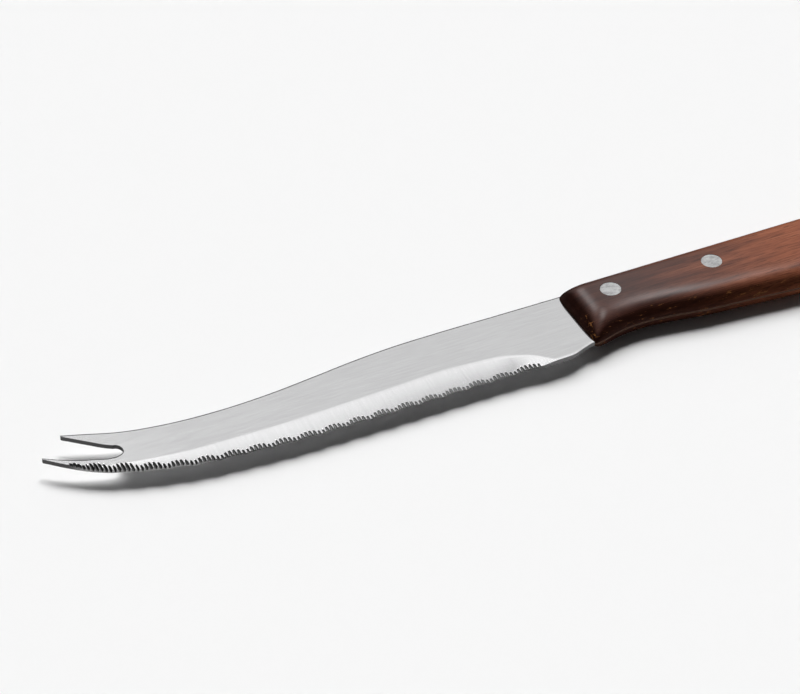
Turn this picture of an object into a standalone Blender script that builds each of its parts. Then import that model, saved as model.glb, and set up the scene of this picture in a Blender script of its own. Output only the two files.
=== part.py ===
"""Cheese knife: a serrated, fork-tipped steel blade with a hidden tang, two wooden handle scales and two rivets."""
import math

import bmesh
import bpy
import numpy as np
from mathutils import Matrix, Vector

# Lengths are in metres. X runs from the fork (-) to the butt (+), Y from the cutting edge (-) to the spine (+),
# Z up through the blade's thickness. x = 0 is the handle's front end and y = 0 is the spine's straight line.

# Blade
BLADE_LENGTH = 0.105
BLADE_HEIGHT = 0.0162
STOCK = 0.0009
BEVEL_SLOPE = 0.125
SHOULDER_DEPTH = 0.0013
SHOULDER_CHAMFER = 0.0004
SHOULDER_FOOT_RISE = 0.0015
SEAT_GAP = 0.0003

# Outline points: (distance from the lower prong's tip, y) in the fork half, (distance from the handle, y) behind it
SPINE_BY_TIP = [(0.0055, 0.0030), (0.0090, 0.0016), (0.0150, -0.0005), (0.0230, -0.0021), (0.0340, -0.00283),
                (0.0450, -0.00240), (0.0540, -0.00142)]
SPINE_BY_HANDLE = [(0.0420, -0.00037), (0.0350, 0.00015), (0.0260, 0.00030), (0.0120, 0.00016), (0.0, 0.00008)]
EDGE_BY_TIP = [(0.0004, -0.0021), (0.0040, -0.0054), (0.0085, -0.0087), (0.0115, -0.0101), (0.0200, -0.0130),
               (0.0248, -0.01415), (0.0343, -0.0153), (0.0440, -0.0160)]
HEEL_DROPS = [(0.0480, 0.0), (0.0174, 0.0001), (0.0075, 0.0003), (0.0046, 0.0001), (0.0024, -0.0007),
              (0.0003, -0.0014)]
UPPER_PRONG_UNDER = [(0.0055, 0.0027), (0.0092, -0.0006), (0.0118, -0.0028), (0.0130, -0.0036)]
LOWER_PRONG_OVER = [(0.0120, -0.0069), (0.0092, -0.0062), (0.0055, -0.0049), (0.0030, -0.0035), (0.0002, -0.0016)]
NOTCH_END = (0.0128, -0.0054)
NOTCH_RADIUS = 0.0015

# Ground bevel on the upper face: (distance from the tip or the handle, width up from the edge)
BEVEL_BY_TIP = [(0.0, 0.0012), (0.0070, 0.0018), (0.0150, 0.0020), (0.0250, 0.0034), (0.0390, 0.0045)]
BEVEL_BY_HANDLE = [(0.0450, 0.0055), (0.0240, 0.0059), (0.0160, 0.0048), (0.0112, 0.0026), (0.0085, 0.0)]

# Serration: scallops of grooves along the cutting edge, from near the heel to the lower prong
SERRATION_START = 0.0117
GROOVE_PITCH = 0.00081
FIRST_GROOVE = 0.00044
GROOVES_PER_SCALLOP = 6
HEEL_GROOVES = 7
TIP_GROOVES = 4
PLAIN_TIP_EDGE = 0.0032
SCALLOP_DEPTH = 0.0005
FULL_SCALLOPS_AFTER = 4
GROOVE_HALF_WIDTH = 0.00038
GROOVE_HALF_HEIGHT = 0.0006
GROOVE_RISE = 0.0015
TIP_GROOVE_RISE = 0.0009
GROOVE_RISE_DROP = 0.00075
GROOVE_BREAKTHROUGH = 0.00012
END_GROOVE_LIFT = 0.00022
GROOVE_SIDES = 16

# Handle
HANDLE_LENGTH = 0.110
HANDLE_TOP = 0.00015
SCALE_THICKNESS = 0.00345
SEAM_GAP = 0.0003
SIDE_WALL = 0.0008
EDGE_ROUNDING = 0.0046
FRONT_TOP_CORNER = 0.0015
FRONT_FOOT_CORNER = 0.0014
BUTT_CORNER = 0.0055
BUTT_DROP = 0.0022
BUTT_DROP_LENGTH = 0.034
# (distance from the handle's front, y) of the underside, whose arch seats the finger behind the front end
UNDERSIDE = [(0.0, -0.0154), (0.0025, -0.0147), (0.0065, -0.0136), (0.0112, -0.0132), (0.0170, -0.0137),
             (0.0240, -0.0149), (0.0330, -0.0158), (0.0440, -0.0169), (0.0600, -0.0177), (0.0780, -0.0173)]
UNDERSIDE_BY_BUTT = [(0.0180, -0.0165), (0.0, -0.0157)]

# Tang and rivets
TANG_LENGTH = 0.085
TANG_TOP = -0.0030
TANG_HEIGHT = 0.0085
TANG_TAPER = 0.0018
RIVET_RADIUS = 0.0020
RIVET_BELOW_FACE = 0.00005
RIVET_PLACES = {"rivet_front": (0.00847, -0.00540), "rivet_rear": (0.02996, -0.00607)}

# The flat of the lower scale that the knife lies on, which is the model's origin
REST_PLACE = (0.0380, -0.0085)

CUT_MARGIN = 0.002
BEVEL_STATIONS = 140
SCALE_ROWS = 34
SCALE_COLUMNS = 7
COLUMNS_SHARE = 0.48

HALF_STOCK = STOCK / 2
HALF_SEAM = SEAM_GAP / 2
HALF_HANDLE = SCALE_THICKNESS + HALF_SEAM


def clear_scene():
    for item in list(bpy.data.objects):
        bpy.data.objects.remove(item, do_unlink=True)


def make_collection(name):
    made = bpy.data.collections.new(name)
    bpy.context.scene.collection.children.link(made)
    return made


def make_material(name, colour, roughness, metallic):
    material = bpy.data.materials.new(name)
    material.use_nodes = True
    shader = material.node_tree.nodes["Principled BSDF"]
    shader.inputs["Base Color"].default_value = (*colour, 1.0)
    shader.inputs["Roughness"].default_value = roughness
    shader.inputs["Metallic"].default_value = metallic
    return material


def curve_through(points):
    """A smooth y over x through the points."""
    xs, ys = np.array(sorted(points)).T
    slopes = np.gradient(ys, xs)

    def height(x):
        k = int(np.clip(np.searchsorted(xs, x) - 1, 0, len(xs) - 2))
        span = xs[k + 1] - xs[k]
        t = min(max((x - xs[k]) / span, 0.0), 1.0)
        start = (1 + 2 * t) * ys[k] + t * span * slopes[k]
        end = (3 - 2 * t) * ys[k + 1] - (1 - t) * span * slopes[k + 1]
        return float((1 - t) ** 2 * start + t ** 2 * end)

    return height


def by_tip(points):
    return [(reach - BLADE_LENGTH, y) for reach, y in points]


def along_blade(tip_points, handle_points):
    """A curve through points placed from the tip and, behind them, points placed from the handle."""
    placed = by_tip(tip_points)
    rearmost = max(x for x, _ in placed)
    return curve_through(placed + [(-reach, y) for reach, y in handle_points if -reach > rearmost])


spine_y = along_blade(SPINE_BY_TIP, SPINE_BY_HANDLE)
edge_y = along_blade(EDGE_BY_TIP, [(reach, -BLADE_HEIGHT - drop) for reach, drop in HEEL_DROPS])
bevel_width = along_blade(BEVEL_BY_TIP, BEVEL_BY_HANDLE)
underside_y = curve_through(UNDERSIDE + [(HANDLE_LENGTH - reach, y) for reach, y in UNDERSIDE_BY_BUTT])


def upper_face_z(x, y):
    """Height of the blade's upper face, bevel included, over its middle plane."""
    beyond = max(0.0, edge_y(x) + bevel_width(x) - y)
    return HALF_STOCK - BEVEL_SLOPE * beyond


def walk_edge(start):
    """Points along the cutting edge, a groove's pitch apart, from near the heel to the lower prong's tip."""
    end = EDGE_BY_TIP[0][0] - BLADE_LENGTH
    fine = np.linspace(-SERRATION_START, end, 2000)
    heights = np.array([edge_y(x) for x in fine])
    travel = np.concatenate([[0.0], np.cumsum(np.hypot(np.diff(fine), np.diff(heights)))])
    stops = np.arange(start, travel[-1], GROOVE_PITCH)
    return [Vector((float(x), edge_y(x))) for x in np.interp(stops, travel, fine)]


def groove_counts():
    """Grooves in each group from the heel to the lower prong, whose edge ends plain."""
    room = len(walk_edge(0.0)) - HEEL_GROOVES - TIP_GROOVES - round(PLAIN_TIP_EDGE / GROOVE_PITCH)
    return [HEEL_GROOVES] + [GROOVES_PER_SCALLOP] * (room // GROOVES_PER_SCALLOP) + [TIP_GROOVES]


def scalloped_edge():
    """Outline of the cutting edge from the serration's heel end to the prong's tip."""
    stops = walk_edge(0.0)
    first = 0
    outline = [stops[0]]
    counts = groove_counts()[:-1]
    for group, count in enumerate(counts):
        last = first + count
        chord = stops[last] - stops[first]
        inward = Vector((chord.y, -chord.x)).normalized()
        depth = SCALLOP_DEPTH * min(1.0, (len(counts) - group) / FULL_SCALLOPS_AFTER)
        for k in range(1, count):
            t = k / count
            outline.append(stops[first] + chord * t + inward * (depth * 4 * t * (1 - t)))
        outline.append(stops[last])
        first = last
    tip = EDGE_BY_TIP[0][0] - BLADE_LENGTH
    outline += [Vector((float(x), edge_y(x))) for x in np.linspace(stops[first].x, tip, 10)[1:]]
    return outline


def notch_outline():
    """The gap between the prongs, from the lower prong's tip round the notch's end to the upper prong's tip."""
    lower = curve_through(by_tip(LOWER_PRONG_OVER))
    upper = curve_through(by_tip(UPPER_PRONG_UNDER))
    start, foot = LOWER_PRONG_OVER[-1][0] - BLADE_LENGTH, LOWER_PRONG_OVER[0][0] - BLADE_LENGTH
    brow, end = UPPER_PRONG_UNDER[-1][0] - BLADE_LENGTH, UPPER_PRONG_UNDER[0][0] - BLADE_LENGTH
    centre = Vector((NOTCH_END[0] - BLADE_LENGTH, NOTCH_END[1]))
    outline = [Vector((float(x), lower(x))) for x in np.linspace(start, foot, 10)]
    turn_start = (outline[-1] - centre).angle_signed(Vector((1, 0)))
    turn_end = (Vector((brow, upper(brow))) - centre).angle_signed(Vector((1, 0)))
    for angle in np.linspace(turn_start, turn_end, 11)[1:-1]:
        outline.append(centre + NOTCH_RADIUS * Vector((math.cos(angle), math.sin(angle))))
    outline += [Vector((float(x), upper(x))) for x in np.linspace(brow, end, 10)]
    return outline


def blade_outline():
    upper_tip = SPINE_BY_TIP[0][0] - BLADE_LENGTH
    back = [Vector((float(x), spine_y(x))) for x in np.linspace(upper_tip, SHOULDER_DEPTH - SHOULDER_CHAMFER, 44)]
    tang_foot = TANG_TOP - TANG_HEIGHT
    tang = [Vector((SHOULDER_DEPTH, HANDLE_TOP)), Vector((SHOULDER_DEPTH, TANG_TOP)),
            Vector((TANG_LENGTH, TANG_TOP - TANG_TAPER / 2)), Vector((TANG_LENGTH, tang_foot + TANG_TAPER / 2)),
            Vector((SHOULDER_DEPTH, tang_foot)), Vector((SHOULDER_DEPTH, edge_y(0.0) + SHOULDER_FOOT_RISE))]
    heel = [Vector((float(x), edge_y(x))) for x in np.linspace(0.0, -SERRATION_START, 15)[:-1]]
    return back + tang + heel + scalloped_edge() + notch_outline()


def extruded_outline(name, outline, half_thickness, collection):
    """A closed flat outline as a solid plate about z = 0."""
    curve = bpy.data.curves.new(name, "CURVE")
    curve.dimensions = "2D"
    curve.fill_mode = "BOTH"
    curve.extrude = half_thickness
    spline = curve.splines.new("POLY")
    spline.points.add(len(outline) - 1)
    for point, place in zip(spline.points, outline):
        point.co = (place[0], place[1], 0.0, 1.0)
    spline.use_cyclic_u = True
    guide = bpy.data.objects.new(name + "_curve", curve)
    bpy.context.scene.collection.objects.link(guide)
    evaluated = guide.evaluated_get(bpy.context.evaluated_depsgraph_get())
    mesh = bpy.data.meshes.new_from_object(evaluated)
    mesh.name = name
    bm = bmesh.new()
    bm.from_mesh(mesh)
    bmesh.ops.remove_doubles(bm, verts=bm.verts, dist=0.000001)
    bmesh.ops.recalc_face_normals(bm, faces=bm.faces)
    bm.to_mesh(mesh)
    bm.free()
    plate = bpy.data.objects.new(name, mesh)
    plate.matrix_world = guide.matrix_world
    collection.objects.link(plate)
    bpy.data.objects.remove(guide, do_unlink=True)
    return plate


def mesh_object(name, bm, collection):
    bmesh.ops.recalc_face_normals(bm, faces=bm.faces)
    mesh = bpy.data.meshes.new(name)
    bm.to_mesh(mesh)
    bm.free()
    made = bpy.data.objects.new(name, mesh)
    collection.objects.link(made)
    return made


def as_cutter(item):
    item.hide_render = True
    item.display_type = "WIRE"
    return item


def cut(item, cutter):
    modifier = item.modifiers.new(cutter.name, "BOOLEAN")
    modifier.operation = "DIFFERENCE"
    modifier.solver = "EXACT"
    modifier.object = cutter


def loft(bm, sections):
    """A closed solid through sections of equal point counts, which run round the same way."""
    rings = [[bm.verts.new(place) for place in section] for section in sections]
    count = len(rings[0])
    for ring, following in zip(rings, rings[1:]):
        for k in range(count):
            after = (k + 1) % count
            bm.faces.new((ring[k], ring[after], following[after], following[k]))
    bm.faces.new(rings[0])
    bm.faces.new(reversed(rings[-1]))


def make_bevel_cutter(collection):
    """A wedge over the ground bevel, which narrows and runs out towards the heel."""
    front = -BLADE_LENGTH - CUT_MARGIN
    back = -BEVEL_BY_HANDLE[-1][0]
    sections = []
    for x in np.linspace(front, back, BEVEL_STATIONS):
        crest = edge_y(x) + bevel_width(x)
        over, foot = crest + CUT_MARGIN, edge_y(x) - CUT_MARGIN
        sections.append([
            (x, over, HALF_STOCK + BEVEL_SLOPE * CUT_MARGIN),
            (x, foot, HALF_STOCK - BEVEL_SLOPE * (crest - foot)),
            (x, foot, HALF_STOCK + 2 * CUT_MARGIN),
            (x, over, HALF_STOCK + 2 * CUT_MARGIN),
        ])
    bm = bmesh.new()
    loft(bm, sections)
    return as_cutter(mesh_object("bevel_cutter", bm, collection))


def groove_matrix(edge, rise, lift_at_edge):
    """Place of a groove's oval cutter, whose lowest line falls from the bevel to about the lower face at the edge."""
    foot = Vector((edge.x, edge.y, lift_at_edge - HALF_STOCK - GROOVE_BREAKTHROUGH))
    top = Vector((edge.x, edge.y + rise, upper_face_z(edge.x, edge.y + rise)))
    run = (foot - top).normalized()
    lift = (Vector((0, 0, 1)) - run * run.z).normalized()
    side = lift.cross(run)
    turn = Matrix((side, lift, run)).transposed().to_4x4()
    flatten = Matrix.Diagonal((GROOVE_HALF_WIDTH / GROOVE_HALF_HEIGHT, 1.0, 1.0, 1.0))
    centre = (foot + top) / 2 + lift * GROOVE_HALF_HEIGHT
    return Matrix.Translation(centre) @ turn @ flatten, (foot - top).length + CUT_MARGIN


def make_groove_cutters(collection):
    """Two sets of groove cutters, every second groove in each, so that no two in a set meet."""
    stops = walk_edge(FIRST_GROOVE)
    meshes = [bmesh.new(), bmesh.new()]
    index = 0
    counts = groove_counts()
    for group, count in enumerate(counts):
        crest = TIP_GROOVE_RISE if group == len(counts) - 1 else GROOVE_RISE
        for k in range(count):
            across = 2 * (k + 0.5) / count - 1
            rise = crest - GROOVE_RISE_DROP * across ** 2 * crest / GROOVE_RISE
            matrix, length = groove_matrix(stops[index], rise, END_GROOVE_LIFT * across ** 2)
            bmesh.ops.create_cone(meshes[index % 2], cap_ends=True, segments=GROOVE_SIDES,
                                  radius1=GROOVE_HALF_HEIGHT, radius2=GROOVE_HALF_HEIGHT, depth=length, matrix=matrix)
            index += 1
    return [as_cutter(mesh_object(f"groove_cutter_{k + 1}", bm, collection)) for k, bm in enumerate(meshes)]


def make_hole_cutter(name, radius, place, collection):
    bm = bmesh.new()
    bmesh.ops.create_cone(bm, cap_ends=True, segments=32, radius1=radius, radius2=radius,
                          depth=2 * (HALF_HANDLE + CUT_MARGIN), matrix=Matrix.Translation((*place, 0.0)))
    return as_cutter(mesh_object(name, bm, collection))


def make_pocket_cutter(collection):
    """The slot that the blade's shoulders and tang seat in, open at the handle's front."""
    top, foot = TANG_TOP + SEAT_GAP, TANG_TOP - TANG_HEIGHT - SEAT_GAP
    heel, end = SHOULDER_DEPTH + SEAT_GAP, TANG_LENGTH + SEAT_GAP
    over, under = HANDLE_TOP + CUT_MARGIN, edge_y(0.0) - SEAT_GAP
    outline = [(-CUT_MARGIN, over), (heel, over), (heel, top), (end, top - TANG_TAPER / 2),
               (end, foot + TANG_TAPER / 2), (heel, foot), (heel, under + SHOULDER_FOOT_RISE), (0.0, under),
               (-CUT_MARGIN, under)]
    return as_cutter(extruded_outline("tang_pocket", outline, HALF_STOCK + SEAT_GAP, collection))


def handle_top_y(x):
    """The handle's upper line: straight, then falling gently to the butt."""
    fall = max(0.0, x - (HANDLE_LENGTH - BUTT_DROP_LENGTH)) / BUTT_DROP_LENGTH
    return HANDLE_TOP - BUTT_DROP * fall ** 2


def corner_draw(reach, corner):
    """How far a parabolic corner draws in the outline at a distance from the end."""
    return (math.sqrt(corner) - math.sqrt(min(reach, corner))) ** 2


def corner_sizes(x):
    """Sizes of the lower and the upper corner at the end nearest to x."""
    return (FRONT_FOOT_CORNER, FRONT_TOP_CORNER) if x < HANDLE_LENGTH / 2 else (BUTT_CORNER, BUTT_CORNER)


def soft_least(first, second, corner):
    """The smaller of two insets, blended where they meet so that it is zero on the parabolic corner."""
    return min(first, second) - max(0.0, corner - abs(first - second)) ** 2 / (4 * corner)


def rounded_height(inset):
    """Height over the middle plane at an inset from the handle's outline: a short wall, then a quarter ellipse."""
    share = min(max(inset, 0.0), EDGE_ROUNDING) / EDGE_ROUNDING
    return SIDE_WALL + (HALF_HANDLE - SIDE_WALL) * math.sqrt(1 - (1 - share) ** 2)


def end_stations():
    """Insets from an end that follow the edge's rounding, close together where it is steep."""
    angles = np.linspace(0, math.pi / 2, SCALE_COLUMNS)
    return [EDGE_ROUNDING * (1 - math.cos(angle)) for angle in angles]


def scale_mesh(side):
    """One handle scale: a grid over its outline, domed at the edges, on a flat inner face."""
    ends = end_stations()
    straight = np.linspace(ends[-1], HANDLE_LENGTH - ends[-1], SCALE_ROWS)
    rows = ends[:-1] + list(straight) + [HANDLE_LENGTH - inset for inset in reversed(ends[:-1])]
    bm = bmesh.new()
    outer, inner = [], []
    for x in rows:
        low, high = underside_y(x), handle_top_y(x)
        from_end, corners = min(x, HANDLE_LENGTH - x), corner_sizes(x)
        draws = [corner_draw(from_end, corner) for corner in corners]
        squeeze = min(1.0, COLUMNS_SHARE * (high - low - sum(draws)) / EDGE_ROUNDING)
        halves = []
        for line, inward, draw, corner in zip((low, high), (1, -1), draws, corners):
            lifts = [draw + inset * squeeze for inset in ends]
            halves.append([(line + inward * lift, rounded_height(soft_least(lift, from_end, corner)))
                           for lift in lifts])
        spots = halves[0] + halves[1][::-1]
        outer.append([bm.verts.new((x, y, side * z)) for y, z in spots])
        inner.append([bm.verts.new((x, y, side * HALF_SEAM)) for y, _ in spots])
    columns = len(outer[0])
    for i in range(len(rows) - 1):
        for j in range(columns - 1):
            bm.faces.new((outer[i][j], outer[i + 1][j], outer[i + 1][j + 1], outer[i][j + 1]))
            bm.faces.new((inner[i][j], inner[i][j + 1], inner[i + 1][j + 1], inner[i + 1][j]))
        for j in (0, columns - 1):
            bm.faces.new((outer[i][j], inner[i][j], inner[i + 1][j], outer[i + 1][j]))
    for i in (0, len(rows) - 1):
        for j in range(columns - 1):
            bm.faces.new((outer[i][j], outer[i][j + 1], inner[i][j + 1], inner[i][j]))
    flat = [face for face in bm.faces if all(abs(abs(v.co.z) - HALF_SEAM) < 1e-7 for v in face.verts)]
    bmesh.ops.dissolve_faces(bm, faces=flat)
    return bm


def make_blade(material, parts, cutters):
    blade = extruded_outline("blade", blade_outline(), HALF_STOCK, parts)
    blade.data.materials.append(material)
    cut(blade, make_bevel_cutter(cutters))
    for cutter in make_groove_cutters(cutters):
        cut(blade, cutter)
    for name, place in RIVET_PLACES.items():
        cut(blade, make_hole_cutter(name + "_tang_hole", RIVET_RADIUS + SEAT_GAP, place, cutters))
    return blade


def make_scale(name, side, material, pocket, holes, parts):
    scale = mesh_object(name, scale_mesh(side), parts)
    scale.data.materials.append(material)
    scale.data.shade_smooth()
    scale.data.set_sharp_from_angle(angle=math.radians(35))
    cut(scale, pocket)
    for hole in holes:
        cut(scale, hole)
    return scale


def make_rivet(name, place, material, parts):
    length = 2 * (HALF_HANDLE - RIVET_BELOW_FACE)
    bpy.ops.mesh.primitive_cylinder_add(vertices=32, radius=RIVET_RADIUS, depth=length, location=(*place, 0.0))
    rivet = bpy.context.object
    rivet.name = name
    rivet.data.name = name
    rivet.data.materials.append(material)
    rivet.data.shade_smooth()
    rivet.data.set_sharp_from_angle(angle=math.radians(35))
    for owner in list(rivet.users_collection):
        owner.objects.unlink(rivet)
    parts.objects.link(rivet)
    return rivet


def main():
    clear_scene()
    parts = make_collection("cheese_knife")
    cutters = make_collection("cutters")
    steel = make_material("steel", (0.62, 0.62, 0.63), 0.28, 1.0)
    wood = make_material("dark_wood", (0.115, 0.045, 0.030), 0.38, 0.0)
    aluminium = make_material("aluminium", (0.60, 0.61, 0.62), 0.45, 1.0)

    blade = make_blade(steel, parts, cutters)
    pocket = make_pocket_cutter(cutters)
    holes = [make_hole_cutter(name + "_scale_hole", RIVET_RADIUS + SEAT_GAP, place, cutters)
             for name, place in RIVET_PLACES.items()]
    made = [blade]
    made.append(make_scale("handle_scale_upper", 1, wood, pocket, holes, parts))
    made.append(make_scale("handle_scale_lower", -1, wood, pocket, holes, parts))
    for name, place in RIVET_PLACES.items():
        made.append(make_rivet(name, place, aluminium, parts))

    base = bpy.data.objects.new("rest_point", None)
    base.location = (-REST_PLACE[0], -REST_PLACE[1], HALF_HANDLE)
    parts.objects.link(base)
    for item in made + list(cutters.objects):
        item.parent = base


main()
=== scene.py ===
import math

import bmesh
import bpy
import numpy as np
from mathutils import Matrix, Vector


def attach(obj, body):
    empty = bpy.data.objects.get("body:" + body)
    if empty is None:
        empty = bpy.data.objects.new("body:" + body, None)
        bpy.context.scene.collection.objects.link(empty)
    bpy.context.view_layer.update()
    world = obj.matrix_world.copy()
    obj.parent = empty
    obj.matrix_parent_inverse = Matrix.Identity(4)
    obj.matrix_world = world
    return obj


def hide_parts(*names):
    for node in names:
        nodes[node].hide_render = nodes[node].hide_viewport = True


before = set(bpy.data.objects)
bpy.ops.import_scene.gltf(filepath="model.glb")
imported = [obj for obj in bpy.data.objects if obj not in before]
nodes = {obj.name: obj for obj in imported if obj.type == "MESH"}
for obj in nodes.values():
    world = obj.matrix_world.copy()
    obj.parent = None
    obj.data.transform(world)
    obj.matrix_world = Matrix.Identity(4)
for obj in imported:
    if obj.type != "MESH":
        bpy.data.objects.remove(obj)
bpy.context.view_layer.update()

# Camera at the photograph's place
CAMERA_AIM = Vector((-0.07127143, 0.00797405, 0.00405))
CAMERA_DISTANCE = 0.63345
CAMERA_AZIMUTH = math.radians(-25.54)
CAMERA_ELEVATION = math.radians(39.0)
LENS = 153.0
SENSOR_WIDTH = 36.0
CLIP_START = 0.01

# Light
STUDIO_LEVEL = 0.04
BACKDROP_LEVEL = 0.93
MIRRORED_LEVEL = 0.50
SHADE_STRIP = 0.338
STRIP_SIDES = (0.12, 0.26)
WALL_LEVEL = 0.84
PANEL_LEVEL = 1.27
WALL_SIDES = (0.5, 0.8)
WALL_END = (-0.35, -0.05)
WALL_FOOT = (0.15, 0.40)
PANEL_FOOT = (0.66, 0.82)
PANEL_TOP = (0.84, 0.95)
BOXES = (((0.298, 0.255, 0.920), 12.5), ((0.050, 0.660, 0.750), 8.2))
BOX_RIM = (0.984, 0.997)
KEY_DIRECTION = (0.29, 0.40, 1.0)
KEY_POWER = 1.73
KEY_WIDTH = math.radians(30)

# Linear colours
FLOOR_COLOUR = (0.93, 0.93, 0.93)
STEEL_COLOUR = (0.64, 0.64, 0.645)
GROOVE_WALL_PAINTED_SHADE = (0.060, 0.060, 0.060)
GROOVE_FLOOR_PAINTED_SHADE = (0.105, 0.105, 0.105)
CUT_STEEL_PAINTED_SHADE = (0.07, 0.07, 0.07)
HEEL_STEEL_PAINTED_SHADE = (0.15, 0.15, 0.15)
TIP_STEEL_PAINTED_SHADE = (0.30, 0.30, 0.30)
RIVET_COLOUR = (0.365, 0.365, 0.365)
WOOD_FRONT = ((0.030, 0.0095, 0.0065), (0.055, 0.0170, 0.0110), (0.088, 0.0290, 0.0185))
WOOD_BACK = ((0.180, 0.0540, 0.0260), (0.285, 0.0880, 0.0420), (0.370, 0.1280, 0.0660))
FLECK_COLOUR = (0.200, 0.085, 0.030)
SEAM_COLOUR = (0.150, 0.090, 0.065)
GRAIN_STOPS = (0.32, 0.50, 0.68)

# Ranges over which the steel's look changes, in the part's frame
BEVEL_PAINTED_SHADE_RUN = (-0.100, -0.060)
BEVEL_PAINTED_SHADE_END = (-0.050, -0.056)
HEEL_SIDE = (-0.052, -0.048)
TIP_TEETH_START = (-0.1395, -0.1365)
TIP_TEETH_END = (-0.120, -0.112)
PRONG_SLOPE = 0.4
PRONG_LINE = (-0.0515, -0.0519)

# Ranges over which the wood's look changes, in the part's frame
REAR_WOOD = (-0.030, 0.018)
WORN_RUN = (-0.030, 0.012)
WORN_FRONT = (-0.036, -0.028)
SPECK_REACH = (0.0005, -0.0020)
LIP_REACH = (-0.0030, -0.0040)
LIP_HEIGHT = (0.00026, 0.00012)

# The knife's own origin, at the handle's front end, the spine's line and the seam, in the part's frame
FRONT_PLACE = Vector((-0.0380, 0.0085, 0.0036))
FLOOR_SIZE = 6.0

# Handle
HANDLE_LENGTH = 0.110
HANDLE_TOP = 0.00015
HALF_HANDLE = 0.0036
SIDE_WALL = 0.0003
EDGE_ROUNDING = 0.0060
SPINE_ROUNDING = 0.0030
END_ROUNDING = 0.0050
FRONT_TOP_CORNER = 0.0015
FRONT_FOOT_CORNER = 0.0014
BUTT_CORNER = 0.0055
BUTT_DROP = 0.0022
BUTT_DROP_LENGTH = 0.034
UNDERSIDE = [(0.0, -0.0154), (0.0025, -0.0147), (0.0065, -0.0136), (0.0112, -0.0132), (0.0170, -0.0137),
             (0.0240, -0.0149), (0.0330, -0.0158), (0.0440, -0.0169), (0.0600, -0.0177), (0.0780, -0.0173),
             (0.0920, -0.0165), (0.1100, -0.0157)]
SEAM_LINE = 0.00006
SLOT_BOX = ((-0.001, -0.0145, -0.00052), (0.0013, 0.002, 0.00052))
HOLE_RADIUS = 0.00205
HOLE_LENGTH = 0.02
HOLE_SIDES = 64
RIVET_PLACES = [(0.00847, -0.00540), (0.02996, -0.00607)]
ROWS = 130
END_ROWS = 22
COLUMNS = 46
WOOD_SHARP = 40

# Blade
HALF_STOCK = 0.00045
SPINE = [(-0.0996, 0.0030), (-0.0960, 0.0017), (-0.0900, -0.0005), (-0.0820, -0.0021),
         (-0.0710, -0.00283), (-0.0600, -0.00240), (-0.0510, -0.00142), (-0.0420, -0.00037),
         (-0.0350, 0.00015), (-0.0260, 0.00030), (-0.0120, 0.00016), (0.0, 0.00008)]
EDGE = [(-0.1048, -0.0018), (-0.1010, -0.0053), (-0.0965, -0.0087), (-0.0935, -0.0101), (-0.0850, -0.0130),
        (-0.0802, -0.01415), (-0.0707, -0.0153), (-0.0610, -0.0160), (-0.0480, -0.0162), (-0.0174, -0.0163),
        (-0.0075, -0.0165), (-0.0046, -0.0163), (-0.0024, -0.0155), (-0.0003, -0.0148)]
BEVEL_WIDTH = [(-0.1050, 0.0), (-0.0975, 0.0), (-0.0940, 0.0013), (-0.0900, 0.0020), (-0.0800, 0.0034),
               (-0.0660, 0.0045), (-0.0450, 0.0055), (-0.0240, 0.0059), (-0.0160, 0.0048),
               (-0.0112, 0.0026), (-0.0085, 0.0)]
UPPER_PRONG_UNDER = [(-0.0996, 0.0027), (-0.0958, -0.0006), (-0.0932, -0.0028), (-0.0920, -0.0036)]
LOWER_PRONG_OVER = [(-0.1049, -0.0014), (-0.1020, -0.0032), (-0.0995, -0.00455), (-0.0958, -0.0060),
                    (-0.0942, -0.0066), (-0.0930, -0.0068)]
NOTCH_END = (-0.0907, -0.0054)
NOTCH_RUN = 0.0004
HEEL_END = 0.0013
TANG_BOX = ((0.0010, -0.0115, -0.00045), (0.0850, -0.0030, 0.00045))
TOP_BEVEL_SLOPE = 0.115
FOOT_BEVEL_SLOPE = 0.135
BEVEL_SOFTNESS = 0.00018
BEVEL_LEAST = 0.0003
HEEL_BREAK = 0.0005
RIM_WIDTH = 0.00024
GUARD = 0.00004
RIM_FALL = 0.00003
RIM_RUN_OUT = 0.0005
MERGE_DISTANCE = 1e-7
STEEL_SHARP = 28

# Serration, from the heel towards the tip
SERRATION_START = -0.0117
GROOVE_PITCH = 0.00081
FIRST_GROOVE = 0.00044
GROUPS = [7] + [6] * 17 + [4]
SCALLOP_DEPTH = 0.00034
PLAIN_GROUPS = 4
GROOVE_RISE = 0.00150
GROOVE_RISE_DROP = 0.00085
LAST_RISES = [0.0016, 0.0019, 0.0019, 0.0010]
GROOVE_HALF_WIDTH = 0.00031
END_GROOVE_HALF_WIDTH = 0.00020
GROOVE_TAPER = 0.6
GROOVE_FALL = 0.7
GROOVE_DEPTH = [(-0.1010, 0.00030), (-0.0975, 0.00072), (-0.0860, 0.00060), (-0.0760, 0.00034),
                (-0.0640, 0.00022)]
GROOVE_SKIN = 0.00005
GROOVE_LIP = 0.000004
GROOVE_REACH = [(-0.1010, 0.00125), (-0.0985, 0.00205), (-0.0940, 0.00220), (-0.0850, 0.00200),
                (-0.0800, 0.00160)]
EDGE_SAMPLES = 2000
SCALLOP_STEPS = 4
STATION_PITCH = 0.000068
HEEL_STATIONS = 24
BEND_STATIONS = 6
GROOVE_ROWS = 24
BEVEL_ROWS = 6


def new_material(name):
    material = bpy.data.materials.new(name)
    material.use_nodes = True
    return material, material.node_tree, material.node_tree.nodes["Principled BSDF"]


def feed(tree, node, inputs):
    """Gives a shader node its input values or links."""
    for socket, value in inputs.items():
        if hasattr(value, "is_output"):
            tree.links.new(value, node.inputs[socket])
        else:
            node.inputs[socket].default_value = value


def add(tree, kind, inputs=None, **settings):
    """A new shader node with its settings and its input values or links."""
    made = tree.nodes.new("ShaderNode" + kind)
    for key, value in settings.items():
        setattr(made, key, value)
    feed(tree, made, inputs or {})
    return made


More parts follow.
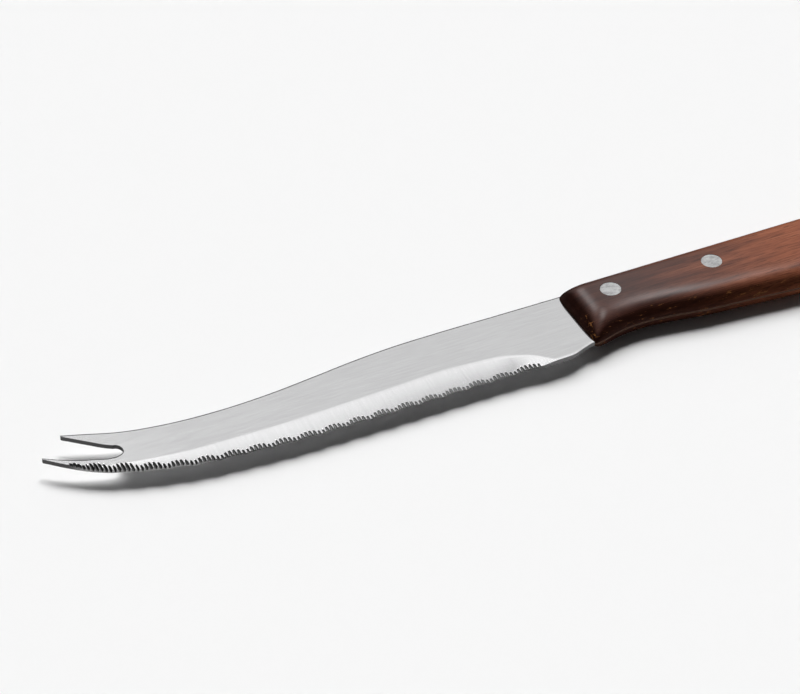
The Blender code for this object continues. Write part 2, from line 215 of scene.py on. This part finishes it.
def noise(tree, scale, detail=4.0, roughness=0.55, distortion=0.0, turn=0.0):
    """A noise with a scale of its own along each axis, turned about Z by so many degrees."""
    coordinates = add(tree, "TexCoord").outputs["Object"]
    place = add(tree, "Mapping", {"Vector": coordinates, "Scale": scale,
                                  "Rotation": (0.0, 0.0, math.radians(turn))})
    made = add(tree, "TexNoise", {"Vector": place.outputs["Vector"], "Scale": 1.0, "Detail": detail,
                                  "Roughness": roughness, "Distortion": distortion})
    return made.outputs["Fac"]


def ramp(tree, value, stops):
    """A colour ramp with (position, colour) stops."""
    made = add(tree, "ValToRGB", {"Fac": value})
    elements = made.color_ramp.elements
    while len(elements) < len(stops):
        elements.new(0.5)
    for element, (position, colour) in zip(elements, stops):
        element.position = position
        element.color = (*colour, 1.0)
    return made.outputs["Color"]


def spread(tree, value, low, high, to_low=0.0, to_high=1.0):
    made = add(tree, "MapRange", {"Value": value, "From Min": low, "From Max": high, "To Min": to_low,
                                  "To Max": to_high}, interpolation_type="SMOOTHSTEP")
    return made.outputs["Result"]


def vary(tree, value, to_low=0.0, to_high=1.0):
    """A noise's middle range, stretched between two values."""
    return spread(tree, value, 0.3, 0.7, to_low, to_high)


def maths(tree, operation, first, second):
    return add(tree, "Math", {0: first, 1: second}, operation=operation).outputs[0]


def product(tree, first, *others):
    for other in others:
        first = maths(tree, "MULTIPLY", first, other)
    return first


def rest_of(tree, value):
    """What the value leaves of 1."""
    return maths(tree, "SUBTRACT", 1.0, value)


def mix(tree, factor, first, second, blend="MIX"):
    made = add(tree, "Mix", data_type="RGBA", blend_type=blend)
    for socket, value in ((0, factor), (6, first), (7, second)):
        if hasattr(value, "is_output"):
            tree.links.new(value, made.inputs[socket])
        elif socket == 0:
            made.inputs[socket].default_value = value
        else:
            made.inputs[socket].default_value = (*value, 1.0)
    return made.outputs[2]


def bump(tree, height, strength, distance):
    return add(tree, "Bump", {"Height": height, "Strength": strength, "Distance": distance}).outputs["Normal"]


def scaled(colour, factor):
    return tuple(factor * c for c in colour)


def axes_of(tree, vector):
    return add(tree, "SeparateXYZ", {0: vector}).outputs


def object_axes(tree):
    return axes_of(tree, add(tree, "TexCoord").outputs["Object"])


def normal_axes(tree, normal):
    return axes_of(tree, add(tree, "NewGeometry").outputs[normal])


def uprightness(tree, normal="True Normal"):
    """1 where the surface faces up or down, 0 on an upright wall."""
    return maths(tree, "ABSOLUTE", normal_axes(tree, normal)["Z"], 0.0)


def steel_material():
    """Brushed flats, a cross-ground bevel painted darker towards the heel and on its steeper lower part as
    painted shade, and steep sides painted dark as painted shade.
    """
    material, tree, shader = new_material("satin_steel")
    brushed = noise(tree, (180.0, 5200.0, 900.0), detail=5.0, turn=3)
    ground = noise(tree, (4200.0, 160.0, 900.0), turn=25)
    blotches = noise(tree, (70.0, 110.0, 110.0), detail=3.0)
    axes = object_axes(tree)
    along = axes["X"]
    facing = uprightness(tree)
    flat = spread(tree, facing, 0.9940, 0.9990)
    wall = spread(tree, facing, 0.35, 0.85, 1.0, 0.0)
    deep = spread(tree, uprightness(tree, "Normal"), 0.9934, 0.9908)
    # Painted shade on the bevel: darker on its steeper lower part and more so towards the heel, fading out
    # near the bevel's end by the heel.
    bevel_painted_shade = product(tree, spread(tree, along, *BEVEL_PAINTED_SHADE_RUN, 0.20, 0.45), spread(tree, along, *BEVEL_PAINTED_SHADE_END), deep)
    tint = product(tree, vary(tree, blotches, 0.985, 1.015), rest_of(tree, bevel_painted_shade))
    lines = vary(tree, mix(tree, flat, ground, brushed), 0.97, 1.03)
    varied = add(tree, "HueSaturation", {"Color": (*STEEL_COLOUR, 1.0), "Value": product(tree, tint, lines)})
    # The steep sides take a dark colour that is painted shade, lighter at the heel and lighter still on the
    # walls of the tip's teeth; they are also rougher.
    side = mix(tree, spread(tree, along, *HEEL_SIDE), CUT_STEEL_PAINTED_SHADE, HEEL_STEEL_PAINTED_SHADE)
    below = maths(tree, "ADD", axes["Y"], product(tree, along, PRONG_SLOPE))
    toothed = product(tree, spread(tree, along, *TIP_TEETH_START),
                      spread(tree, along, *TIP_TEETH_END, 1.0, 0.0), spread(tree, below, *PRONG_LINE))
    side = mix(tree, toothed, side, TIP_STEEL_PAINTED_SHADE)
    smooth = spread(tree, brushed, 0.25, 0.75, 0.11, 0.14)
    feed(tree, shader, {
        "Metallic": 1.0,
        "Base Color": mix(tree, wall, varied.outputs["Color"], side),
        "Roughness": maths(tree, "ADD", smooth, product(tree, wall, 0.2)),
        "Normal": bump(tree, brushed, 0.02, 0.00002),
    })
    return material


def groove_material():
    material, tree, shader = new_material("ground_grooves_painted_shade")
    marks = noise(tree, (2600.0, 300.0, 900.0), detail=3.0)
    # The grooves are painted dark as painted shade in the recess: darkest on the steep walls, a little
    # lighter where the floors face up, with grinding marks varying the tone.
    floor = product(tree, spread(tree, uprightness(tree), 0.93, 0.985), vary(tree, marks, 0.8, 1.0))
    feed(tree, shader, {
        "Metallic": 1.0,
        "Base Color": mix(tree, floor, GROOVE_WALL_PAINTED_SHADE, GROOVE_FLOOR_PAINTED_SHADE),
        "Roughness": vary(tree, marks, 0.32, 0.42),
        "Normal": bump(tree, marks, 0.1, 0.00002),
    })
    return material


def rim_material():
    material, tree, shader = new_material("rim_painted_shade")
    streaks = noise(tree, (600.0, 600.0, 900.0), detail=3.0)
    # The rim's dark colour is painted shade along the far edges, its tone varied by streaks.
    dark = scaled(CUT_STEEL_PAINTED_SHADE, 0.4)
    light = scaled(CUT_STEEL_PAINTED_SHADE, 0.9)
    feed(tree, shader, {
        "Metallic": 1.0,
        "Base Color": mix(tree, vary(tree, streaks), dark, light),
        "Roughness": vary(tree, streaks, 0.3, 0.45),
        "Normal": bump(tree, streaks, 0.1, 0.00002),
    })
    return material


def wood_material():
    """Dark at the front and redder to the rear, with pores, pale flecks on the flanks and a pale seam."""
    material, tree, shader = new_material("dark_wood")
    figure = noise(tree, (45.0, 560.0, 560.0), detail=5.0, roughness=0.6, distortion=0.4)
    fibre = noise(tree, (420.0, 3400.0, 3400.0), detail=5.0, roughness=0.7)
    pores = noise(tree, (220.0, 5200.0, 5200.0), detail=2.0)
    flecks = noise(tree, (420.0, 1800.0, 1500.0), roughness=0.7, turn=12)
    chips = noise(tree, (1900.0, 420.0, 1500.0), roughness=0.7)
    axes = object_axes(tree)
    upright = uprightness(tree)
    end_grain = spread(tree, normal_axes(tree, "Normal")["X"], -0.25, -0.60)
    flank = maths(tree, "MAXIMUM", spread(tree, upright, 0.95, 0.76), end_grain)

    grain = maths(tree, "ADD", product(tree, figure, 0.55), product(tree, fibre, 0.45))
    front = ramp(tree, grain, list(zip(GRAIN_STOPS, WOOD_FRONT)))
    rear = ramp(tree, grain, list(zip(GRAIN_STOPS, WOOD_BACK)))
    wander = product(tree, maths(tree, "SUBTRACT", figure, 0.5), 0.03)
    along = maths(tree, "ADD", axes["X"], wander)
    colour = mix(tree, spread(tree, along, *REAR_WOOD), front, rear)
    colour = mix(tree, spread(tree, pores, 0.36, 0.44, 0.45, 1.0), WOOD_FRONT[0], colour)
    # Painted shade: the flanks and the front end are darkened, most on the slopes just below the top and
    # somewhat less on the upright walls.
    shade = rest_of(tree, product(tree, flank, spread(tree, upright, 0.30, 0.70, 0.46, 0.72)))
    colour = add(tree, "HueSaturation", {"Color": colour, "Value": shade}).outputs["Color"]

    speck = product(tree, spread(tree, flecks, 0.58, 0.68), flank)
    chip = product(tree, spread(tree, chips, 0.56, 0.64), end_grain)
    speck = product(tree, maths(tree, "MAXIMUM", speck, chip), spread(tree, axes["Y"], *SPECK_REACH))
    colour = mix(tree, speck, colour, FLECK_COLOUR)
    lift = maths(tree, "ABSOLUTE", maths(tree, "SUBTRACT", axes["Z"], FRONT_PLACE.z), 0.0)
    lip = product(tree, spread(tree, lift, *LIP_HEIGHT), spread(tree, axes["Y"], *LIP_REACH))

    edge_on = add(tree, "LayerWeight", {"Blend": 0.5}).outputs["Facing"]
    worn = product(tree, spread(tree, axes["X"], *WORN_RUN, 0.93, 0.42),
                   spread(tree, axes["X"], *WORN_FRONT, 0.72, 1.0))
    gloss = product(tree, spread(tree, edge_on, 0.42, 0.70, 1.0, 0.10), worn,
                    rest_of(tree, product(tree, flank, 0.92)))
    feed(tree, shader, {
        "Base Color": mix(tree, lip, colour, SEAM_COLOUR),
        "Roughness": vary(tree, fibre, 0.36, 0.46),
        "Specular IOR Level": product(tree, gloss, 0.22),
        "Coat Weight": product(tree, gloss, 0.45),
        "Coat Roughness": 0.27,
        "Normal": bump(tree, grain, 0.12, 0.0001),
    })
    return material


def rivet_material():
    material, tree, shader = new_material("ground_aluminium")
    mottle = noise(tree, (900.0, 1500.0, 900.0), roughness=0.7)
    dark = scaled(RIVET_COLOUR, 0.72)
    light = scaled(RIVET_COLOUR, 1.2)
    feed(tree, shader, {
        "Metallic": 1.0,
        "Base Color": mix(tree, spread(tree, mottle, 0.35, 0.65), dark, light),
        "Roughness": vary(tree, mottle, 0.34, 0.5),
        "Normal": bump(tree, mottle, 0.2, 0.0001),
    })
    return material


def give(item, material):
    item.data.materials.clear()
    item.data.materials.append(material)


def smooth_over(item, sharp):
    """Smooth shading, except at edges sharper than so many degrees."""
    item.data.shade_smooth()
    item.data.set_sharp_from_angle(angle=math.radians(sharp))


def curve_through(points):
    """A smooth y over x through the points."""
    xs, ys = np.array(points).T
    slopes = np.gradient(ys, xs)

    def height(x):
        k = int(np.clip(np.searchsorted(xs, x) - 1, 0, len(xs) - 2))
        span = xs[k + 1] - xs[k]
        t = min(max((x - xs[k]) / span, 0.0), 1.0)
        start = (1 + 2 * t) * ys[k] + t * span * slopes[k]
        end = (3 - 2 * t) * ys[k + 1] - (1 - t) * span * slopes[k + 1]
        return float((1 - t) ** 2 * start + t ** 2 * end)

    return height


underside_y = curve_through(UNDERSIDE)


def handle_top_y(x):
    fall = max(0.0, x - (HANDLE_LENGTH - BUTT_DROP_LENGTH)) / BUTT_DROP_LENGTH
    return HANDLE_TOP - BUTT_DROP * fall ** 2


def corner_draw(reach, corner):
    """How far a rounded corner draws the outline in, at a reach from the handle's end."""
    return (math.sqrt(corner) - math.sqrt(min(reach, corner))) ** 2


def dome(inset, rounding):
    """Share of the full height at an inset from the outline: a quarter ellipse."""
    share = min(max(inset, 0.0), rounding) / rounding
    return math.sqrt(1 - (1 - share) ** 2)


def piece_object(name, bm):
    """A new object whose mesh sits in the knife's own frame, moved to the part's frame."""
    bmesh.ops.translate(bm, verts=bm.verts, vec=FRONT_PLACE)
    mesh = bpy.data.meshes.new(name)
    bm.to_mesh(mesh)
    bm.free()
    item = bpy.data.objects.new(name, mesh)
    bpy.context.scene.collection.objects.link(item)
    return item


def cut(target, bm):
    """Takes the solid in bm out of the target, for good."""
    cutter = piece_object("cutter", bm)
    modifier = target.modifiers.new("cut", "BOOLEAN")
    modifier.operation = "DIFFERENCE"
    modifier.solver = "EXACT"
    modifier.object = cutter
    with bpy.context.temp_override(object=target):
        bpy.ops.object.modifier_apply(modifier=modifier.name)
    bpy.data.objects.remove(cutter, do_unlink=True)


def box_mesh(low, high):
    bm = bmesh.new()
    size = Vector(high) - Vector(low)
    middle = (Vector(high) + Vector(low)) / 2
    bmesh.ops.create_cube(bm, size=1.0, matrix=Matrix.Translation(middle) @ Matrix.Diagonal((*size, 1.0)))
    return bm


def make_scale(name, side, material):
    """One handle scale as a fine grid, domed to its edges, with the blade's slot and the rivets' holes."""
    turn = [EDGE_ROUNDING * (1 - math.cos(a)) for a in np.linspace(0, math.pi / 2, END_ROWS)]
    rows = turn[:-1] + list(np.linspace(turn[-1], HANDLE_LENGTH - turn[-1], ROWS))
    rows += [HANDLE_LENGTH - inset for inset in reversed(turn[:-1])]
    across = [(1 - math.cos(a)) / 2 for a in np.linspace(0, math.pi, COLUMNS)]
    bm = bmesh.new()
    outer, inner = [], []
    for x in rows:
        from_end = min(x, HANDLE_LENGTH - x)
        front = x < HANDLE_LENGTH / 2
        low = underside_y(x) + corner_draw(from_end, FRONT_FOOT_CORNER if front else BUTT_CORNER)
        high = handle_top_y(x) - corner_draw(from_end, FRONT_TOP_CORNER if front else BUTT_CORNER)
        line, base = [], []
        for share in across:
            y = low + (high - low) * share
            sides = min(dome(y - low, EDGE_ROUNDING), dome(high - y, SPINE_ROUNDING))
            rise = dome(from_end, END_ROUNDING) * sides
            z = SIDE_WALL + (HALF_HANDLE - SIDE_WALL) * rise
            line.append(bm.verts.new((x, y, side * z)))
            base.append(bm.verts.new((x, y, side * SEAM_LINE)))
        outer.append(line)
        inner.append(base)
    last = COLUMNS - 1
    for i in range(len(rows) - 1):
        for j in range(last):
            bm.faces.new((outer[i][j], outer[i + 1][j], outer[i + 1][j + 1], outer[i][j + 1]))
            bm.faces.new((inner[i][j], inner[i][j + 1], inner[i + 1][j + 1], inner[i + 1][j]))
        for j in (0, last):
            bm.faces.new((outer[i][j], inner[i][j], inner[i + 1][j], outer[i + 1][j]))
    for i in (0, len(rows) - 1):
        for j in range(last):
            bm.faces.new((outer[i][j], outer[i][j + 1], inner[i][j + 1], inner[i][j]))
    bmesh.ops.recalc_face_normals(bm, faces=bm.faces)
    scale = piece_object(name, bm)
    cut(scale, box_mesh(*SLOT_BOX))
    for x, y in RIVET_PLACES:
        hole = bmesh.new()
        bmesh.ops.create_cone(hole, cap_ends=True, segments=HOLE_SIDES, radius1=HOLE_RADIUS,
                              radius2=HOLE_RADIUS, depth=HOLE_LENGTH, matrix=Matrix.Translation((x, y, 0.0)))
        cut(scale, hole)
    give(scale, material)
    smooth_over(scale, WOOD_SHARP)
    return scale


spine_y = curve_through(SPINE)
edge_y = curve_through(EDGE)
bevel_width = curve_through(BEVEL_WIDTH)
under_y = curve_through(UPPER_PRONG_UNDER)
over_y = curve_through(LOWER_PRONG_OVER)


def edge_stops(start):
    """Points along the plain cutting edge, a groove's pitch apart, from near the heel to the tip."""
    fine = np.linspace(SERRATION_START, EDGE[0][0], EDGE_SAMPLES)
    heights = np.array([edge_y(x) for x in fine])
    travel = np.concatenate([[0.0], np.cumsum(np.hypot(np.diff(fine), np.diff(heights)))])
    stops = np.arange(start, travel[-1], GROOVE_PITCH)
    return [(float(x), edge_y(x)) for x in np.interp(stops, travel, fine)]


def scallop_line():
    """Places along the edge, and how far the scallops reach into the blade there, in order of x."""
    stops = edge_stops(0.0)
    places, depths = [], []
    first = 0
    for group, count in enumerate(GROUPS[:-1]):
        depth = SCALLOP_DEPTH * min(1.0, (len(GROUPS) - 1 - group) / PLAIN_GROUPS)
        steps = SCALLOP_STEPS * count
        for k in range(steps):
            t = k / steps
            start, end = stops[first][0], stops[first + count][0]
            places.append(start + (end - start) * t)
            depths.append(depth * 4 * t * (1 - t))
        first += count
    return places[::-1], depths[::-1]


def groove_places():
    """Each groove's place on the edge, its rise over it and its half width, in order of x."""
    stops = edge_stops(FIRST_GROOVE)
    rises = [GROOVE_RISE] * (len(GROUPS) - len(LAST_RISES)) + LAST_RISES
    grooves = []
    for count, crest in zip(GROUPS, rises):
        for k in range(count):
            across = 2 * (k + 0.5) / count - 1
            x, y = stops[len(grooves)]
            rise = crest - GROOVE_RISE_DROP * across ** 2 * crest / GROOVE_RISE
            half = GROOVE_HALF_WIDTH + (END_GROOVE_HALF_WIDTH - GROOVE_HALF_WIDTH) * across ** 2
            grooves.append((x, y, rise, half))
    return grooves[::-1]


def bevel_fall(x, y):
    """How far the ground bevel lies under the flat at a place, with a softened upper line."""
    width = max(bevel_width(x), HEEL_BREAK if x > SERRATION_START else 0.0)
    beyond = edge_y(x) + width - y
    if width < BEVEL_LEAST or beyond <= -BEVEL_SOFTNESS:
        return 0.0
    if beyond < BEVEL_SOFTNESS:
        return TOP_BEVEL_SLOPE * (beyond + BEVEL_SOFTNESS) ** 2 / (4 * BEVEL_SOFTNESS)
    extra = (FOOT_BEVEL_SLOPE - TOP_BEVEL_SLOPE) / width * beyond ** 2 / 2
    return TOP_BEVEL_SLOPE * beyond + extra


def groove_depth(x, y, grooves, starts):
    """How deep the serration's grooves, arches that narrow upwards, are cut into the upper face."""
    surface = HALF_STOCK - bevel_fall(x, y)
    near = int(np.searchsorted(starts, x))
    for place, foot, rise, half in grooves[max(near - 1, 0):near + 1]:
        up = max((y - foot) / rise, 0.0)
        aside = abs(x - place) / (half * (1 - up ** 3) ** GROOVE_TAPER) if up < 1.0 else 1.0
        if aside < 1.0:
            crown = HALF_STOCK - bevel_fall(place, foot + rise)
            floor = crown + (GROOVE_SKIN - HALF_STOCK - crown) * (1 - up) ** GROOVE_FALL
            limit = float(np.interp(x, *zip(*GROOVE_DEPTH)))
            return min(max(surface - floor, 0.0), limit) * (1 - aside ** 4)
    return 0.0


def notch_sides(x):
    """The notch's lower and upper side at x, the same height behind its end."""
    end, middle = NOTCH_END
    sides = []
    for side, line in ((over_y, LOWER_PRONG_OVER), (under_y, UPPER_PRONG_UNDER)):
        turn, brow = line[-1]
        if x <= turn:
            sides.append(side(x))
        else:
            along = min((x - turn) / (end - turn), 1.0)
            sides.append(middle + (brow - middle) * math.sqrt(1 - along ** 2))
    return sides


def ordered(heights, low, high):
    """The heights kept within low and high and apart from each other."""
    count = len(heights)
    gap = (high - low) * 0.01 / count
    kept = []
    for k, y in enumerate(heights):
        y = min(y, high - (count - 1 - k) * gap)
        kept.append(max(y, low + k * gap))
    return kept


def make_strip(bm, stations, lines, rows_at, depth_at, walls, rims):
    """A plate between a low and a high line, its upper face cut by the bevel and by depth_at.

    The walls close its low and high side, and the rims lower the face beside them, each where it says so.
    """
    columns = []
    for x in stations:
        low, high = (line(x) for line in lines)
        heights = ordered(rows_at(x, low, high), low, high)
        depths = [depth_at(x, y) for y in heights]
        column = [bm.verts.new((x, y, HALF_STOCK - bevel_fall(x, y) - depth))
                  for y, depth in zip(heights, depths)]
        for side, index in zip(rims, (0, -1)):
            column[index].co.z -= RIM_FALL * side(x)
        foot = [bm.verts.new((x, y, -HALF_STOCK)) for y in (heights[0], heights[-1])]
        columns.append((column, foot, depths))
    last = len(columns[0][0]) - 1
    for i in range(len(stations) - 1):
        (here, here_foot, cut_here), (there, there_foot, cut_there) = columns[i], columns[i + 1]
        x = (stations[i] + stations[i + 1]) / 2
        for k in range(last):
            face = bm.faces.new((here[k], there[k], there[k + 1], here[k + 1]))
            if (k == 0 and rims[0](x)) or (k == last - 1 and rims[1](x)):
                face.material_index = 1
            elif max(cut_here[k:k + 2] + cut_there[k:k + 2]) > GROOVE_LIP:
                face.material_index = 2
        bm.faces.new((here_foot[0], here_foot[1], there_foot[1], there_foot[0]))
        for side, k, m in ((walls[0], 0, 0), (walls[1], last, 1)):
            if side(x):
                bm.faces.new((here[k], there[k], there_foot[m], here_foot[m]))
    for column, foot, _ in (columns[0], columns[-1]):
        bm.faces.new(column + foot[::-1])


def make_blade(materials):
    """The blade with hollow grooves in scallops, a soft bevel line and a narrow rim on its far edges."""
    grooves = groove_places()
    starts = [groove[0] for groove in grooves]
    scallop_places, scallop_depths = scallop_line()
    notch = NOTCH_END[0]
    tip = UPPER_PRONG_UNDER[0][0]
    fine = np.arange(EDGE[0][0], SERRATION_START + GROOVE_PITCH, STATION_PITCH)
    coarse = np.linspace(fine[-1], HEEL_END, HEEL_STATIONS)[1:]
    bend = [notch - NOTCH_RUN * (k / BEND_STATIONS) ** 2 for k in range(1, BEND_STATIONS)]
    stations = [float(x) for x in np.unique(np.concatenate([fine, coarse, bend, [notch, tip]]))]

    def low_edge(x):
        return edge_y(x) + float(np.interp(x, scallop_places, scallop_depths, left=0.0, right=0.0))

    def lower_rows(x, low, high):
        reach = float(np.interp(x, *zip(*GROOVE_REACH)))
        bevel = edge_y(x) + max(bevel_width(x), 0.0)
        top = edge_y(x) + reach
        rows = list(np.linspace(low, top, GROOVE_ROWS))
        rows += list(np.linspace(top, bevel - BEVEL_SOFTNESS, BEVEL_ROWS)[1:])
        rows += [bevel, bevel + BEVEL_SOFTNESS, bevel + BEVEL_SOFTNESS + GUARD, high]
        return sorted(min(y, high - RIM_WIDTH - GUARD) for y in rows) + [high - RIM_WIDTH, high]

    def upper_rows(x, low, high):
        return [low, low + GUARD, low + (high - low) * 0.5, high - RIM_WIDTH - GUARD, high - RIM_WIDTH, high]

    def never(x):
        return 0.0

    def always(x):
        return 1.0

    def beside_notch(x):
        return min(max((notch - x) / RIM_RUN_OUT, 0.0), 1.0)

    def depth_at(x, y):
        return groove_depth(x, y, grooves, starts)

    bm = bmesh.new()
    make_strip(bm, stations, (low_edge, lambda x: notch_sides(x)[0]), lower_rows, depth_at,
               (always, beside_notch), (never, beside_notch))
    stations = [x for x in stations if x >= tip]
    make_strip(bm, stations, (lambda x: notch_sides(x)[1], spine_y), upper_rows, depth_at,
               (beside_notch, always), (never, always))
    bmesh.ops.remove_doubles(bm, verts=bm.verts, dist=MERGE_DISTANCE)
    tang = box_mesh(*TANG_BOX)
    mesh = bpy.data.meshes.new("tang")
    tang.to_mesh(mesh)
    tang.free()
    bm.from_mesh(mesh)
    bpy.data.meshes.remove(mesh)
    bmesh.ops.recalc_face_normals(bm, faces=bm.faces)
    blade = piece_object("fine_blade", bm)
    for made in materials:
        blade.data.materials.append(made)
    smooth_over(blade, STEEL_SHARP)
    return blade


def make_floor():
    bpy.ops.mesh.primitive_plane_add(size=FLOOR_SIZE, location=(0.0, 0.0, 0.0))
    floor = bpy.context.object
    floor.name = "floor"
    material, tree, shader = new_material("pale_floor")
    feed(tree, shader, {"Base Color": (*FLOOR_COLOUR, 1.0), "Roughness": 1.0, "Specular IOR Level": 0.0})
    floor.data.materials.append(material)


def make_world():
    """A dark studio with a white wall behind the object, a brighter panel above it and two bright boxes.

    Glossy rays also meet pale surroundings with one dark strip, and the camera sees a pale backdrop.
    """
    world = bpy.data.worlds.new("studio")
    bpy.context.scene.world = world
    world.use_nodes = True
    tree = world.node_tree
    direction = add(tree, "TexCoord").outputs["Generated"]
    axes = axes_of(tree, direction)
    level = add(tree, "VectorMath", {0: direction, 1: (1.0, 1.0, 0.0)}, operation="MULTIPLY")
    reach = add(tree, "VectorMath", {0: level.outputs["Vector"]}, operation="LENGTH").outputs["Value"]
    bearing = maths(tree, "DIVIDE", axes["Y"], maths(tree, "MAXIMUM", reach, 0.001))
    behind = spread(tree, bearing, *WALL_SIDES)
    risen = spread(tree, axes["Z"], *PANEL_FOOT, WALL_LEVEL, PANEL_LEVEL)
    above = spread(tree, axes["Z"], *WALL_FOOT)
    under = spread(tree, axes["Z"], *PANEL_TOP, 1.0, 0.0)
    lit = product(tree, behind, risen, product(tree, under, above), spread(tree, axes["X"], *WALL_END))
    for box, power in BOXES:
        towards = add(tree, "VectorMath", {0: direction, 1: box}, operation="DOT_PRODUCT").outputs["Value"]
        lit = maths(tree, "ADD", lit, spread(tree, towards, *BOX_RIM, 0.0, power))
    aside = maths(tree, "ABSOLUTE", maths(tree, "SUBTRACT", axes["X"], SHADE_STRIP), 0.0)
    room = spread(tree, aside, *STRIP_SIDES, 0.0, MIRRORED_LEVEL)
    rays = add(tree, "LightPath").outputs
    lit = maths(tree, "MAXIMUM", lit, product(tree, room, rays["Is Glossy Ray"]))
    lit = maths(tree, "MAXIMUM", lit, product(tree, rays["Is Camera Ray"], BACKDROP_LEVEL))
    strength = maths(tree, "ADD", lit, STUDIO_LEVEL)
    feed(tree, tree.nodes["Background"], {"Color": (1.0, 1.0, 1.0, 1.0), "Strength": strength})


def make_key():
    """One large soft lamp high up behind the object."""
    light = bpy.data.lights.new("key", "SUN")
    light.energy = KEY_POWER
    light.angle = KEY_WIDTH
    lamp = bpy.data.objects.new("key", light)
    bpy.context.scene.collection.objects.link(lamp)
    lamp.visible_glossy = False
    lamp.rotation_mode = "QUATERNION"
    lamp.rotation_quaternion = Vector(KEY_DIRECTION).to_track_quat("Z", "Y")


def make_camera():
    data = bpy.data.cameras.new("camera")
    data.sensor_width = SENSOR_WIDTH
    data.lens = LENS
    data.clip_start = CLIP_START
    camera = bpy.data.objects.new("camera", data)
    bpy.context.scene.collection.objects.link(camera)
    back = Vector((math.sin(CAMERA_AZIMUTH) * math.cos(CAMERA_ELEVATION),
                   -math.cos(CAMERA_AZIMUTH) * math.cos(CAMERA_ELEVATION), math.sin(CAMERA_ELEVATION)))
    camera.location = CAMERA_AIM + back * CAMERA_DISTANCE
    camera.rotation_mode = "QUATERNION"
    camera.rotation_quaternion = (-back).to_track_quat("-Z", "Y")
    bpy.context.scene.camera = camera


make_camera()
make_floor()
make_world()
make_key()

blade = make_blade([steel_material(), rim_material(), groove_material()])
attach(blade, "root")
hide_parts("blade")
wood = wood_material()
for name, side in (("handle_scale_upper", 1), ("handle_scale_lower", -1)):
    scale = make_scale(name.replace("handle_scale", "fine_scale"), side, wood)
    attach(scale, "root")
    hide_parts(name)
aluminium = rivet_material()
give(nodes["rivet_front"], aluminium)
give(nodes["rivet_rear"], aluminium)

bpy.context.scene.view_settings.view_transform = "Standard"

bpy.context.view_layer.update()
